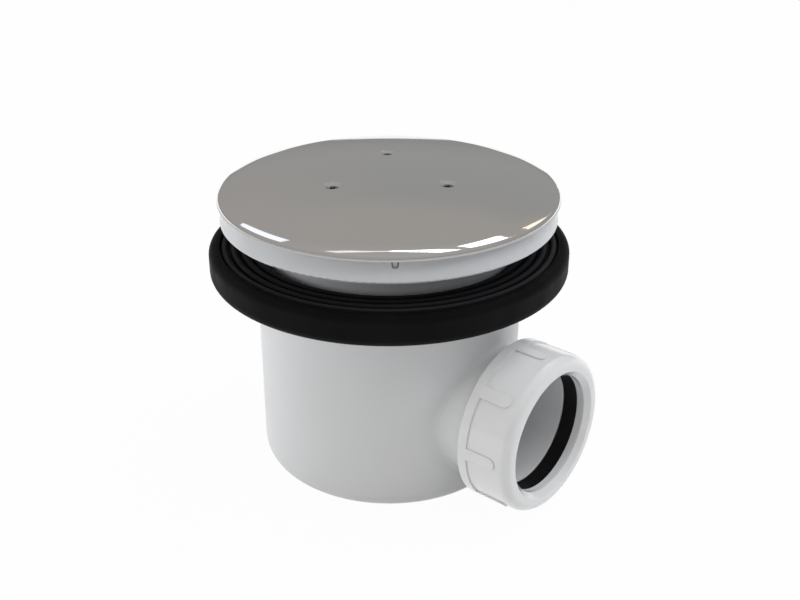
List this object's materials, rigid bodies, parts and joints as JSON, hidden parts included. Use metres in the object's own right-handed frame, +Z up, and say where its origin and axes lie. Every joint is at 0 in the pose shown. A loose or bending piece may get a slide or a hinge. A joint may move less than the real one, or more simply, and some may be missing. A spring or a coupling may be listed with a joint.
{
  "type": "shower trap",
  "caption": "Shower waste trap: polished domed cover, white clamp flange, ribbed black tray gasket, white cup body with a lift-out water seal and a side compression outlet.",
  "frame": {"origin": "centre of the flat base on the trap's upright axis", "axes": "+Z up along the trap's axis to the cover, +X along the outlet, out of its mouth"},
  "size_m": [0.1329, 0.1232, 0.1057],
  "materials": {
    "cover_chrome": "polished",
    "screw_steel": "bright",
    "carrier_plastic": "satin",
    "flange_plastic": "gloss",
    "flange_seal_rubber": "matte",
    "gasket_rubber": "matte",
    "body_plastic": "satin",
    "insert_plastic": "satin",
    "ring_rubber": "matte",
    "nut_plastic": "satin gloss",
    "washer_plastic": "satin",
    "seal_rubber": "matte"
  },
  "bodies": {
    "root": {"cover_plate": "cover_chrome", "cover_screws": "screw_steel", "cover_carrier": "carrier_plastic", "waste_flange": "flange_plastic", "flange_seal": "flange_seal_rubber", "tray_gasket": "gasket_rubber", "trap_body": "body_plastic", "dip_tube": "insert_plastic", "dip_tube_ring": "ring_rubber", "seal_cup": "insert_plastic", "outlet_nut": "nut_plastic", "outlet_washer": "washer_plastic", "outlet_seal": "seal_rubber"}
  },
  "joints": []
}
